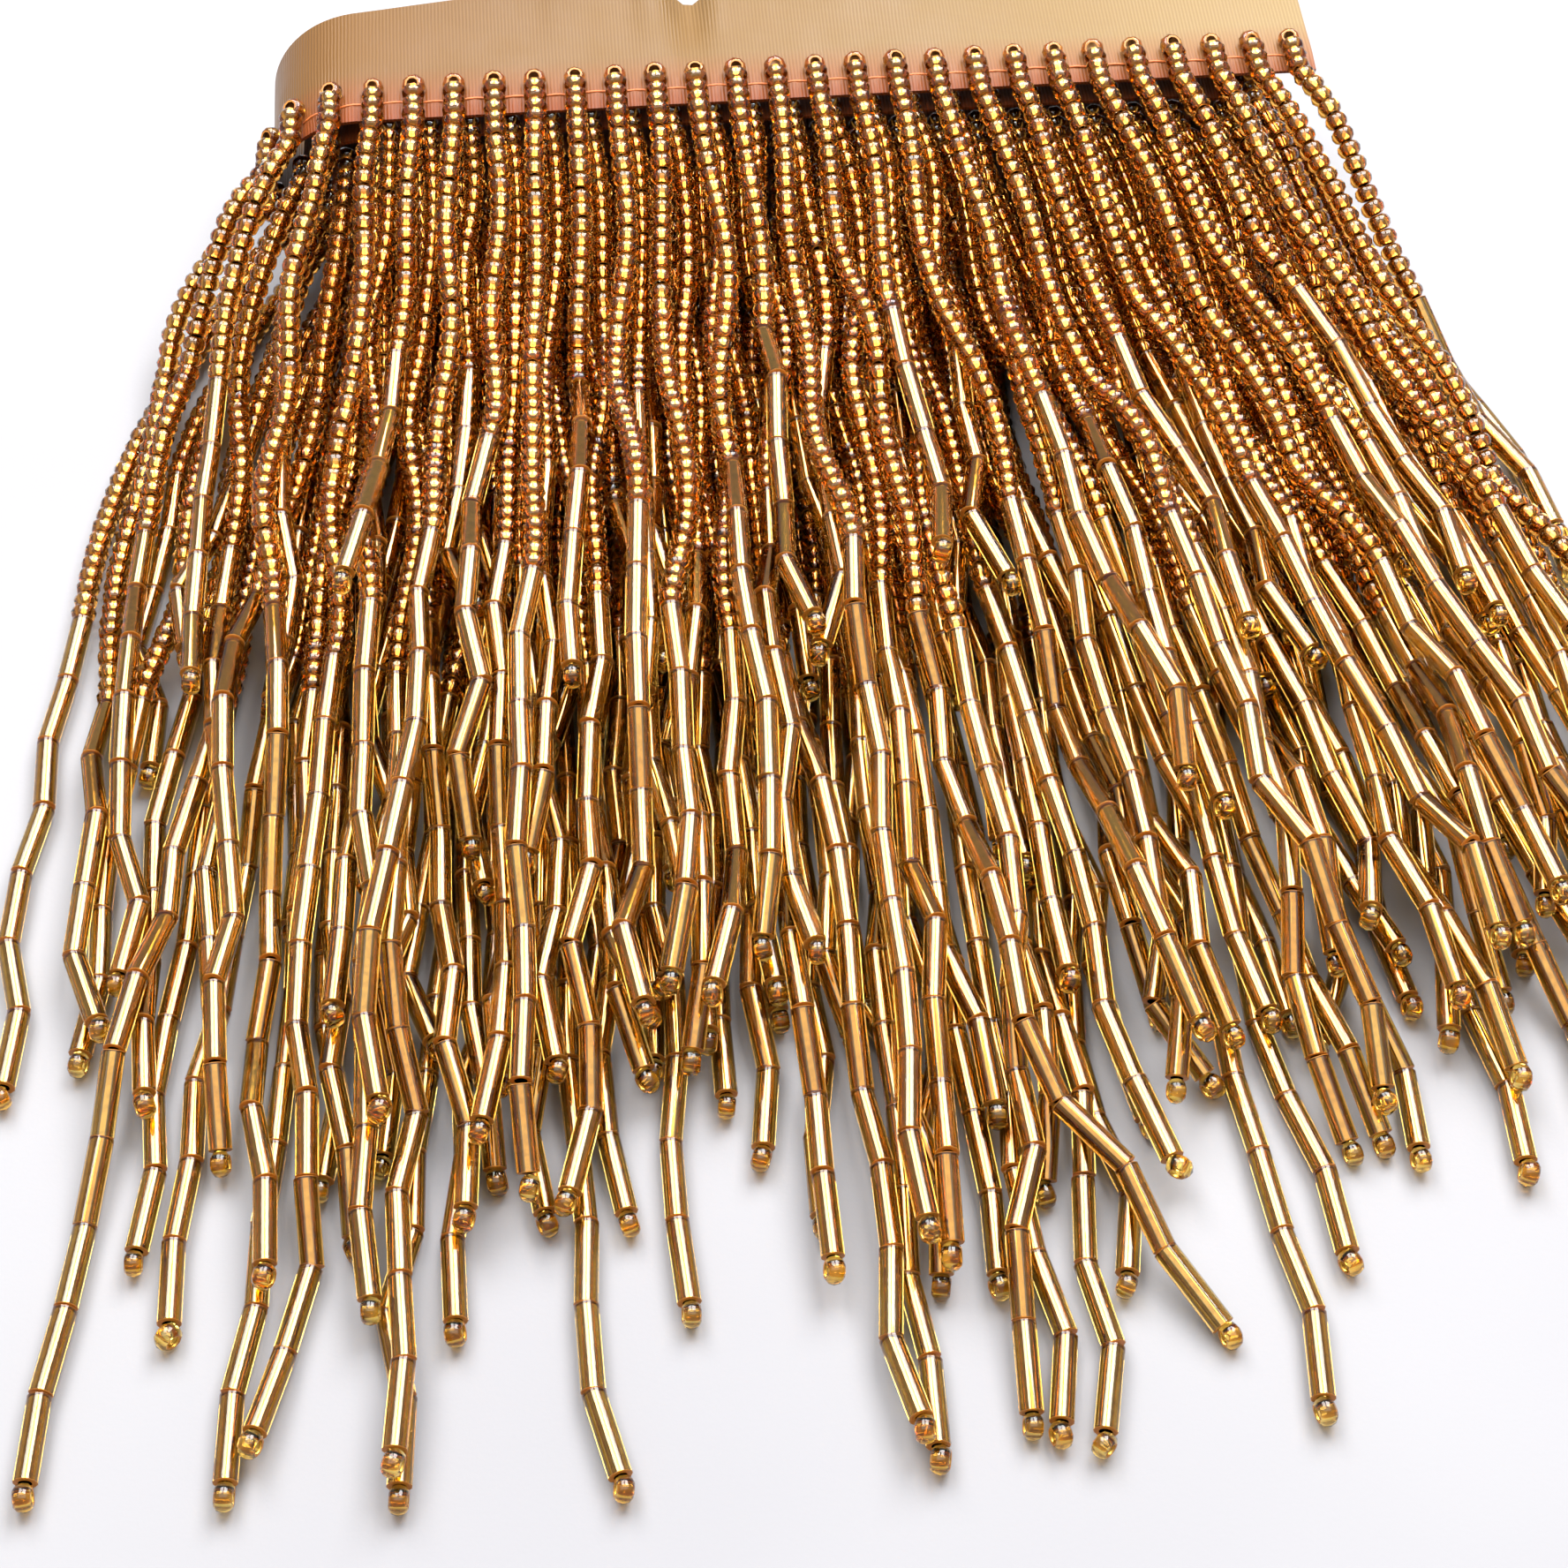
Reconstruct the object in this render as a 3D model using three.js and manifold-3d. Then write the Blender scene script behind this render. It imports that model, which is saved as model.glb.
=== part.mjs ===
// Beaded fringe trim: three quarters of a yard of satin heading ribbon, wound flat, with a fringe of
// silver-lined seed beads and bugle beads sewn along its lower edge.
// Millimetres, +Z up. The ribbon's flat underside lies at z = 0 with its middle at the origin,
// and the strands fall towards -Y and lie in a heap on the same level.

import * as THREE from "three";
import { mergeVertices } from "three/addons/utils/BufferGeometryUtils.js";
import Module from "manifold-3d";

const wasm = await Module();
wasm.setup();

// Heading ribbon and its winding
const RIBBON_WIDTH = 15;
const RIBBON_THICKNESS = 1;
const STITCHED_BAND = 5;
const PIECE_GAP = 0.3;
const STRAIGHT_RUN = 82.5;
const END_OVERRUN = 10;
const INNER_RADIUS = 1.7;
const LAYER_PITCH = 2.8;
const FRONT_LAYERS = 4;
const RUNS_PER_TURN = 4;
const ARC_STEP = Math.PI / 8;

// Strands: each is a chain of seed beads, then bugle beads, then one stopper bead
const STRAND_PITCH = 3.85;
const STRAND_SIDE = 1.5;
const SEED_LENGTH = 1.47;
const BUGLE_LENGTH = 7;
const STOPPER_LENGTH = 2.2;
const STRAND_REPEAT = [
  { seeds: 43, bugles: 10 },
  { seeds: 20, bugles: 4 },
  { seeds: 35, bugles: 8 },
  { seeds: 28, bugles: 6 },
  { seeds: 39, bugles: 8 },
  { seeds: 23, bugles: 5 },
  { seeds: 36, bugles: 7 },
  { seeds: 43, bugles: 5 },
  { seeds: 31, bugles: 7 },
  { seeds: 20, bugles: 5 },
  { seeds: 39, bugles: 9 },
];

// How a strand leaves the ribbon
const FACE_ROOT_RISE = 0.2;
const SEWN_DEPTH = 0.2;
const EDGE_ROOT_INSET = 1;
const FACE_ROOT_INSET = 4.3;
const EXIT_STUB = 1;

// How a strand lies: its lean from straight down the fringe in degrees, then its waves, kinks and strays
const FRONT_LEAN = { left: -2, right: 19, middleX: 14, spread: 20 };
const BACK_LEAN = { left: 8, right: 7 };
const LEAN_FADE = 0.4;
const LAYER_DRIFT = { most: 4, wave: 220, turnPhase: 2.1 };
const SIDE_FLARE = { left: -60, right: 36, reach: 17 };
const SWAY = { most: 2.2, wave: 60 };
const KINK_MOST = 5;
const STRAY = { share: 0.2, most: 30, length: 36, reach: 33 };
const LOOSE_AFTER = 30;
const ROUTE_STEP = 3.5;
const STEEPEST_FALL = Math.tan(THREE.MathUtils.degToRad(30));

// How a strand's solid rests on those below it
const STRAND_SPACING = 2.35;
const FIRST_SEGMENT = 7;
const SEGMENT_LENGTH = 17;
const SAMPLES_PER_SEGMENT = 10;
const UNCHECKED_AT_EXIT = 0.4;
const SETTLING_PASSES = 60;
const SINKING_PASSES = 24;
const NOISE_START = 20417;

const HALF_RUN = STRAIGHT_RUN / 2;
const HALF_THICKNESS = RIBBON_THICKNESS / 2;
const HALF_SIDE = STRAND_SIDE / 2;
const EDGE_Y = -RIBBON_WIDTH / 2;
const BAND_Y = EDGE_Y + STITCHED_BAND;
const CENTRE_Z = INNER_RADIUS + (FRONT_LAYERS - 2) * LAYER_PITCH + HALF_THICKNESS;

const SATIN = new THREE.MeshStandardMaterial({ color: 0xe3bf83, roughness: 0.45, metalness: 0 });
const GOLD_BEADS = new THREE.MeshStandardMaterial({ color: 0xb9832f, roughness: 0.25, metalness: 0.6 });

// The winding as runs of ribbon from its inner end to its outer end: front, right bend, back, left bend
function windingRuns() {
  const runs = [];
  for (let turn = 0; turn < FRONT_LAYERS; turn += 1) {
    const outermost = turn === FRONT_LAYERS - 1;
    const radius = INNER_RADIUS + turn * LAYER_PITCH;
    const leftRadius = radius + LAYER_PITCH / 2;
    const frontLength = STRAIGHT_RUN + (outermost ? END_OVERRUN : 0);
    runs.push({ turn, length: frontLength, startX: -HALF_RUN, z: CENTRE_Z + radius, side: 1 });
    if (outermost) break;
    runs.push({
      turn,
      length: Math.PI * radius,
      radius,
      centre: new THREE.Vector2(HALF_RUN, CENTRE_Z),
      startAngle: Math.PI / 2,
    });
    runs.push({ turn, length: STRAIGHT_RUN, startX: HALF_RUN, z: CENTRE_Z - radius, side: -1 });
    runs.push({
      turn,
      length: Math.PI * leftRadius,
      radius: leftRadius,
      centre: new THREE.Vector2(-HALF_RUN, CENTRE_Z + LAYER_PITCH / 2),
      startAngle: (3 * Math.PI) / 2,
    });
  }
  let start = 0;
  for (const [index, run] of runs.entries()) {
    run.start = start;
    run.isOutside = index >= runs.length - RUNS_PER_TURN;
    start += run.length;
  }
  return runs;
}

const RUNS = windingRuns();
const RIBBON_LENGTH = RUNS.at(-1).start + RUNS.at(-1).length;

// The ribbon's middle line at a distance along it, as x and z, with the way its outer face points
function ribbonAt(distance) {
  const run = RUNS.findLast((each) => each.start <= distance) ?? RUNS[0];
  const along = distance - run.start;
  if (run.radius) {
    const angle = run.startAngle - along / run.radius;
    const normal = new THREE.Vector2(Math.cos(angle), Math.sin(angle));
    return { run, point: run.centre.clone().addScaledVector(normal, run.radius), normal };
  }
  return {
    run,
    point: new THREE.Vector2(run.startX + run.side * along, run.z),
    normal: new THREE.Vector2(0, run.side),
  };
}

// Distances along the ribbon at which its outline needs a point: both ends, run ends and steps round bends
function outlineStops(from, to) {
  const stops = [from];
  for (const run of RUNS) {
    const steps = run.radius ? Math.ceil(Math.PI / ARC_STEP) : 1;
    for (let step = 0; step < steps; step += 1) {
      const stop = run.start + (run.length * step) / steps;
      if (stop > from && stop < to) stops.push(stop);
    }
  }
  stops.push(to);
  return stops;
}

// A stretch of the wound ribbon, between two distances along it and two places across it
function ribbonStretch(from, to, lowY, highY) {
  const line = outlineStops(from, to).map(ribbonAt);
  const outer = line.map(({ point, normal }) => point.clone().addScaledVector(normal, HALF_THICKNESS));
  const inner = line.map(({ point, normal }) => point.clone().addScaledVector(normal, -HALF_THICKNESS));
  const section = new THREE.Shape([...outer, ...inner.reverse()]);
  const stretch = new THREE.ExtrudeGeometry(section, { depth: highY - lowY, bevelEnabled: false });
  return stretch.rotateX(Math.PI / 2).translate(0, highY, 0);
}

// A repeatable stream of numbers from 0 to 1, and the same from -1 to 1
let noise = NOISE_START;
function chance() {
  noise = (noise * 1664525 + 1013904223) % 4294967296;
  return noise / 4294967296;
}
const eitherWay = () => 2 * chance() - 1;

// One strand's beads, its root on the ribbon and its lean, before it is laid down
function planStrand(index) {
  const kind = STRAND_REPEAT[index % STRAND_REPEAT.length];
  const { run, point, normal } = ribbonAt(STRAND_PITCH * (index + 0.5));
  const onFace = run.isOutside && normal.y > FACE_ROOT_RISE;
  const offset = onFace ? HALF_THICKNESS + HALF_SIDE - SEWN_DEPTH : 0;
  const root = new THREE.Vector3(
    point.x + normal.x * offset,
    EDGE_Y + (onFace ? FACE_ROOT_INSET : EDGE_ROOT_INSET),
    Math.max(point.y + normal.y * offset, HALF_SIDE),
  );
  const frontSwing = 1 + Math.tanh((point.x - FRONT_LEAN.middleX) / FRONT_LEAN.spread);
  const frontLean = FRONT_LEAN.left + ((FRONT_LEAN.right - FRONT_LEAN.left) / 2) * frontSwing;
  const backLean = (point.x / HALF_RUN) * (point.x < 0 ? BACK_LEAN.left : BACK_LEAN.right);
  const pastRun = Math.max(0, Math.abs(point.x) - HALF_RUN) / (FRONT_LAYERS * LAYER_PITCH);
  const driftPhase = (2 * Math.PI * point.x) / LAYER_DRIFT.wave + LAYER_DRIFT.turnPhase * run.turn;
  const canStray = onFace && Math.abs(point.x) < STRAY.reach;
  const bends = Array.from({ length: kind.bugles + 1 }, () => eitherWay() * KINK_MOST);
  return {
    turn: run.turn,
    root,
    lean: normal.y > 0 ? frontLean : backLean,
    flare: pastRun * (point.x < 0 ? SIDE_FLARE.left : SIDE_FLARE.right),
    drift: LAYER_DRIFT.most * Math.sin(driftPhase),
    sway: eitherWay() * SWAY.most,
    phase: chance() * 2 * Math.PI,
    stray: chance() < STRAY.share && canStray ? eitherWay() * STRAY.most : 0,
    kinks: bends.slice(1).map((bend, index) => bend - bends[index]),
    seedsLength: kind.seeds * SEED_LENGTH,
    length: kind.seeds * SEED_LENGTH + kind.bugles * BUGLE_LENGTH + STOPPER_LENGTH,
  };
}

// The strand's direction at a distance from the ribbon's edge, in degrees from straight down the fringe
function directionAt(strand, along) {
  const looseness = Math.min(1, along / LOOSE_AFTER);
  const bugle = Math.floor((along - strand.seedsLength) / BUGLE_LENGTH);
  const loose = strand.drift + strand.sway * Math.sin((2 * Math.PI * along) / SWAY.wave + strand.phase);
  return (
    strand.lean * (1 - (LEAN_FADE * along) / strand.length) +
    strand.flare * Math.exp(-along / SIDE_FLARE.reach) +
    (strand.length - along < STRAY.length ? strand.stray : 0) +
    (strand.kinks[bugle] ?? 0) +
    loose * looseness
  );
}

// The strand's line seen from above, in short steps from where it leaves the ribbon's edge
function strandRoute(strand) {
  const route = [new THREE.Vector2(strand.root.x, EDGE_Y - EXIT_STUB)];
  for (let along = 0; along < strand.length; along += ROUTE_STEP) {
    const heading = THREE.MathUtils.degToRad(directionAt(strand, along));
    const step = new THREE.Vector2(Math.sin(heading), -Math.cos(heading));
    route.push(route.at(-1).clone().addScaledVector(step, ROUTE_STEP));
  }
  return route;
}

function pointOnRoute(route, distance) {
  const place = Math.min(distance / ROUTE_STEP, route.length - 1.001);
  const index = Math.floor(place);
  return route[index].clone().lerp(route[index + 1], place - index);
}

// How high a strand's middle line has to be over a place, to clear the floor and every strand laid so far
function supportUnder(x, y, laid) {
  let height = HALF_SIDE;
  for (const { start, end } of laid) {
    const runX = end.x - start.x;
    const runY = end.y - start.y;
    const share = ((x - start.x) * runX + (y - start.y) * runY) / (runX * runX + runY * runY);
    const nearest = Math.min(1, Math.max(0, share));
    const aside = Math.hypot(start.x + runX * nearest - x, start.y + runY * nearest - y);
    if (aside >= STRAND_SPACING) continue;
    const rise = Math.sqrt(STRAND_SPACING * STRAND_SPACING - aside * aside);
    height = Math.max(height, start.z + (end.z - start.z) * nearest + rise);
  }
  return height;
}

// The heights that a strand's segments need at places along them, to clear what lies below
function heightsNeeded(points, fixed, laid) {
  const needs = [];
  for (let index = fixed - 1; index < points.length - 1; index += 1) {
    for (let sample = 1; sample <= SAMPLES_PER_SEGMENT; sample += 1) {
      const share = sample / SAMPLES_PER_SEGMENT;
      if (index < fixed && share < UNCHECKED_AT_EXIT) continue;
      const place = points[index].clone().lerp(points[index + 1], share);
      needs.push({ index, share, height: supportUnder(place.x, place.y, laid) });
    }
  }
  return needs;
}

// Raises the strand's free points until every need is met
function raiseToNeeds(points, fixed, needs) {
  for (let pass = 0; pass < SETTLING_PASSES; pass += 1) {
    for (const { index, share, height } of needs) {
      const [from, to] = [points[index], points[index + 1]];
      const short = height - THREE.MathUtils.lerp(from.z, to.z, share);
      if (short <= 0) continue;
      const fromShare = index < fixed ? 0 : 1 - share;
      const weight = fromShare * fromShare + share * share;
      from.z += (short * fromShare) / weight;
      to.z += (short * share) / weight;
    }
  }
}

// Lets the raised points sink again, half way each time, as far as every need is still met
function sinkToNeeds(points, fixed, needs, lowest) {
  for (let pass = 0; pass < SINKING_PASSES; pass += 1) {
    for (let index = fixed; index < points.length; index += 1) {
      let height = lowest[index];
      for (const need of needs) {
        if (need.index === index - 1) {
          height = Math.max(height, (need.height - (1 - need.share) * points[index - 1].z) / need.share);
        } else if (need.index === index && need.share < 1) {
          height = Math.max(height, (need.height - need.share * points[index + 1].z) / (1 - need.share));
        }
      }
      points[index].z = (points[index].z + height) / 2;
    }
  }
}

// The strand's middle line in space: its root, its exit over the edge, and points lying on the heap
function layStrand(strand, laid) {
  const route = strandRoute(strand);
  const exit = new THREE.Vector3(strand.root.x, EDGE_Y - EXIT_STUB, strand.root.z);
  const freeLength = strand.length - (strand.root.y - exit.y);
  const count = Math.max(2, Math.round((freeLength - FIRST_SEGMENT) / SEGMENT_LENGTH));
  let flatLength = freeLength;
  let points = [];
  for (let fit = 0; fit < 2; fit += 1) {
    points = [strand.root.clone(), exit.clone()];
    for (let step = 0; step <= count; step += 1) {
      const along = FIRST_SEGMENT + ((flatLength - FIRST_SEGMENT) * step) / count;
      const { x, y } = pointOnRoute(route, along);
      const height = Math.max(supportUnder(x, y, laid), exit.z - STEEPEST_FALL * along);
      points.push(new THREE.Vector3(x, y, height));
    }
    const lowest = points.map((point) => point.z);
    const needs = heightsNeeded(points, 2, laid);
    raiseToNeeds(points, 2, needs);
    sinkToNeeds(points, 2, needs, lowest);
    let laidLength = 0;
    for (let index = 2; index < points.length; index += 1) {
      laidLength += points[index].distanceTo(points[index - 1]);
    }
    flatLength *= freeLength / laidLength;
  }
  for (let index = 1; index < points.length - 1; index += 1) {
    laid.push({ start: points[index], end: points[index + 1] });
  }
  return points;
}

// A square bar bent along a line of points, its flat side down
function barAlong(points) {
  const last = points.length - 1;
  const bar = new THREE.BoxGeometry(STRAND_SIDE, STRAND_SIDE, last, 1, 1, last);
  const up = new THREE.Vector3(0, 0, 1);
  const frames = points.map((point, index) => {
    const along = points[Math.min(index + 1, last)].clone().sub(points[Math.max(index - 1, 0)]);
    const across = along.normalize().clone().cross(up).normalize();
    return { point, across, rise: across.clone().cross(along) };
  });
  const corners = bar.getAttribute("position");
  for (let corner = 0; corner < corners.count; corner += 1) {
    const { point, across, rise } = frames[Math.round(corners.getZ(corner) + last / 2)];
    const place = point
      .clone()
      .addScaledVector(across, -corners.getX(corner))
      .addScaledVector(rise, corners.getY(corner));
    corners.setXYZ(corner, place.x, place.y, place.z);
  }
  return bar;
}

function solidFrom(geometry) {
  const bare = geometry.clone();
  bare.deleteAttribute("normal");
  bare.deleteAttribute("uv");
  const merged = mergeVertices(bare, 1e-4);
  return new wasm.Manifold(
    new wasm.Mesh({
      numProp: 3,
      vertProperties: merged.attributes.position.array,
      triVerts: new Uint32Array(merged.index.array),
    }),
  );
}

function meshFrom(solid, name, material) {
  const { vertProperties, triVerts } = solid.getMesh();
  const geometry = new THREE.BufferGeometry();
  geometry.setAttribute("position", new THREE.BufferAttribute(vertProperties, 3));
  geometry.setIndex(new THREE.BufferAttribute(triVerts, 1));
  geometry.computeVertexNormals();
  const mesh = new THREE.Mesh(geometry, material);
  mesh.name = name;
  return mesh;
}

// The strands are laid from the lowest root to the highest, so each lies on those below it
function layFringe() {
  const count = Math.floor(RIBBON_LENGTH / STRAND_PITCH);
  const strands = Array.from({ length: count }, (_, index) => planStrand(index));
  const laid = [];
  for (const strand of [...strands].sort((a, b) => a.root.z - b.root.z)) {
    strand.points = layStrand(strand, laid);
  }
  return strands;
}

// The bare upper part of the ribbon, as wound
function makeHeading() {
  const heading = new THREE.Mesh(
    ribbonStretch(0, RIBBON_LENGTH, BAND_Y + PIECE_GAP / 2, RIBBON_WIDTH / 2),
    SATIN,
  );
  heading.name = "heading_ribbon";
  return heading;
}

// One turn of the ribbon's stitched lower band, with the strands that are sewn to it
function makeFringeTurn(turn, strands) {
  const runs = RUNS.filter((run) => run.turn === turn);
  const from = runs[0].start + (turn > 0 ? PIECE_GAP / 2 : 0);
  const to = runs.at(-1).start + runs.at(-1).length - (turn < FRONT_LAYERS - 1 ? PIECE_GAP / 2 : 0);
  let solid = solidFrom(ribbonStretch(from, to, EDGE_Y, BAND_Y - PIECE_GAP / 2));
  for (const strand of strands.filter((each) => each.turn === turn)) {
    solid = solid.add(solidFrom(barAlong(strand.points)));
  }
  return meshFrom(solid, `fringe_turn_${turn + 1}`, GOLD_BEADS);
}

function makeFringeTrim() {
  const trim = new THREE.Group();
  const strands = layFringe();
  trim.add(makeHeading());
  for (let turn = 0; turn < FRONT_LAYERS; turn += 1) {
    trim.add(makeFringeTurn(turn, strands));
  }
  return trim;
}

export default makeFringeTrim();
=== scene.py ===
# %% [markdown]
# # Beaded fringe trim
# About 0.69 m of satin ribbon, wound flat, with glass bead strands sewn along its lower edge.
# This lesson dresses the plain CAD solids: the ribbon becomes a thin woven sheet on the same
# winding, and each four-sided bar becomes a real string of beads on the same route.

import math

import bpy
import numpy as np
from mathutils import Euler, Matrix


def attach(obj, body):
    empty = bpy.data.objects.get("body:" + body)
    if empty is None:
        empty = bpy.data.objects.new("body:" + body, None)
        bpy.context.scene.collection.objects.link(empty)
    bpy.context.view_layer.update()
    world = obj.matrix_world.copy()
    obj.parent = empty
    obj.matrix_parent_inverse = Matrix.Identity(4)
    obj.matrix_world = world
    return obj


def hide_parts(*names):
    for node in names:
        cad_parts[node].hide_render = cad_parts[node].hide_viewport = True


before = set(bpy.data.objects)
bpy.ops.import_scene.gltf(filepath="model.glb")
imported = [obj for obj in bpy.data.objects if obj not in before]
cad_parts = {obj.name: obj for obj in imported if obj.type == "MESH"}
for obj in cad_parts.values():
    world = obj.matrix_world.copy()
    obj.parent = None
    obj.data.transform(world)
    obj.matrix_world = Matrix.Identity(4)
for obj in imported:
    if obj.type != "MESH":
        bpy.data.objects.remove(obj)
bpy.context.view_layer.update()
print("CAD nodes:", sorted(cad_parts))

# %% [markdown]
# ## Real sizes
# Everything below is worked out in millimetres, the unit that beads are sold in, and turned
# into metres when a mesh is made. The same named sizes shape the CAD solids, so the beads
# come to lie where the bars are.

# %% Sizes of the ribbon and its winding
MM = 0.001

RIBBON_WIDTH = 15
CAD_THICKNESS = 1
SATIN_THICKNESS = 0.3
STRAIGHT_RUN = 82.5
END_OVERRUN = 10
INNER_RADIUS = 1.7
LAYER_PITCH = 2.8
FRONT_LAYERS = 4
RUNS_PER_TURN = 4

HALF_RUN = STRAIGHT_RUN / 2
EDGE_Y = -RIBBON_WIDTH / 2
CENTRE_Z = INNER_RADIUS + (FRONT_LAYERS - 2) * LAYER_PITCH + CAD_THICKNESS / 2

# %% Sizes of the beads and strands
# The make-ups follow each other along the ribbon as the strands that show do.
SEED_DIAMETER = 2.2
SEED_LENGTH = 1.47
BUGLE_DIAMETER = 1.9
BUGLE_LENGTH = 7
STOPPER_LENGTH = 2.2
STRAND_PITCH = 3.85
STRAND_REPEAT = [
    {"seeds": 43, "bugles": 10},
    {"seeds": 20, "bugles": 4},
    {"seeds": 35, "bugles": 8},
    {"seeds": 28, "bugles": 6},
    {"seeds": 39, "bugles": 8},
    {"seeds": 23, "bugles": 5},
    {"seeds": 36, "bugles": 7},
    {"seeds": 43, "bugles": 5},
    {"seeds": 31, "bugles": 7},
    {"seeds": 20, "bugles": 5},
    {"seeds": 39, "bugles": 9},
]

# %% [markdown]
# ## The winding
# A ribbon wound round something flat is a spiral of straight runs and half-round bends.
# One function gives the place and the outward direction at any distance along it, and both
# the ribbon and the strands' roots are placed with that function.


# %% The ribbon's middle line
def winding_runs():
    runs = []
    for turn in range(FRONT_LAYERS):
        outermost = turn == FRONT_LAYERS - 1
        radius = INNER_RADIUS + turn * LAYER_PITCH
        left_radius = radius + LAYER_PITCH / 2
        front_length = STRAIGHT_RUN + (END_OVERRUN if outermost else 0)
        front = {"x": -HALF_RUN, "z": CENTRE_Z + radius, "side": 1}
        runs.append({"turn": turn, "length": front_length, **front})
        if outermost:
            break
        runs.append(
            {
                "turn": turn,
                "length": math.pi * radius,
                "radius": radius,
                "centre": (HALF_RUN, CENTRE_Z),
                "angle": math.pi / 2,
            }
        )
        back = {"x": HALF_RUN, "z": CENTRE_Z - radius, "side": -1}
        runs.append({"turn": turn, "length": STRAIGHT_RUN, **back})
        runs.append(
            {
                "turn": turn,
                "length": math.pi * left_radius,
                "radius": left_radius,
                "centre": (-HALF_RUN, CENTRE_Z + LAYER_PITCH / 2),
                "angle": 3 * math.pi / 2,
            }
        )
    start = 0
    for index, run in enumerate(runs):
        run["start"] = start
        run["outside"] = index >= len(runs) - RUNS_PER_TURN
        start += run["length"]
    return runs


RUNS = winding_runs()
RIBBON_LENGTH = RUNS[-1]["start"] + RUNS[-1]["length"]


def ribbon_at(distance):
    """The run, the place (x, z) and the outward direction (x, z) at a distance along the ribbon."""
    run = [each for each in RUNS if each["start"] <= distance][-1]
    along = distance - run["start"]
    if "radius" in run:
        angle = run["angle"] - along / run["radius"]
        out = (math.cos(angle), math.sin(angle))
        point = tuple(middle + way * run["radius"] for middle, way in zip(run["centre"], out))
        return run, point, out
    return run, (run["x"] + run["side"] * along, run["z"]), (0, run["side"])


print(f"ribbon: {RIBBON_LENGTH:.0f} mm in {len(RUNS)} runs")

# %% [markdown]
# ## The pull of the beads
# The glass is far heavier than the ribbon, so the lower edge of the layer that carries the
# front strands sinks a little. It is a soft fall that fades out across the ribbon, and the
# strands' roots, the satin and the stitches all follow it.

# %% The outer layer's lower edge sinks
EDGE_DROOP = 0.5
DROOP_WIDTH = 9


def edge_droop(run, out, y):
    """How far the outermost layer sinks at a height above its lower edge."""
    if not run["outside"] or out[1] <= 0:
        return 0
    share = max(0, 1 - (y - EDGE_Y) / DROOP_WIDTH)
    return EDGE_DROOP * share**2 * out[1]


# %% [markdown]
# ## How a strand lies
# A bead string is limp. It leaves the ribbon square to it, and then fans out, sways and kinks
# at the joints between its stiff bugle beads. A seeded stream of numbers gives each strand
# its own way of lying, and the same one on every run.

# %% Named sizes for the lie of the strands
# The stitches that show are 2.6 mm above the ribbon's edge. The CAD bars start deeper in the
# band that they are fused to, and below the ribbon's edge both follow this same plan.
FACE_ROOT_INSET = 2.6
EDGE_ROOT_INSET = 1
FACE_ROOT_RISE = 0.2
INNER_LIFT = 1.0
EXIT_STUB = 1
FRONT_LEAN = {"left": -2, "right": 19, "middle_x": 14, "spread": 20}
BACK_LEAN = {"left": 8, "right": 7}
LEAN_FADE = 0.4
LAYER_DRIFT = {"most": 4, "wave": 220, "turn_phase": 2.1}
SIDE_FLARE = {"left": -60, "right": 36, "reach": 17}
# The last strands, past the right bend, hang straight down from the ribbon's free end.
LAST_FLARE = 0
# Strands of these two inner layers lie in the gaps between the strands on top of them.
LAYER_SHIFT = {1: -0.9, 2: 1.6}
SWAY = {"most": 2.2, "wave": 60}
KINK_MOST = 5
STRAY = {"share": 0.2, "most": 30, "length": 36, "reach": 33}
LOOSE_AFTER = 30
STRAIGHT_KINK = 0.65
END_KINK = 1.7

NOISE_START = 20417
NOISE_FACTOR = 1664525
NOISE_STEP = 1013904223
NOISE_RANGE = 2**32
noise = NOISE_START


def chance():
    """The next number from 0 to 1 of a plain stream that gives the same numbers everywhere."""
    global noise
    noise = (noise * NOISE_FACTOR + NOISE_STEP) % NOISE_RANGE
    return noise / NOISE_RANGE


def either_way():
    """The next number of the stream, from -1 to 1."""
    return 2 * chance() - 1


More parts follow.
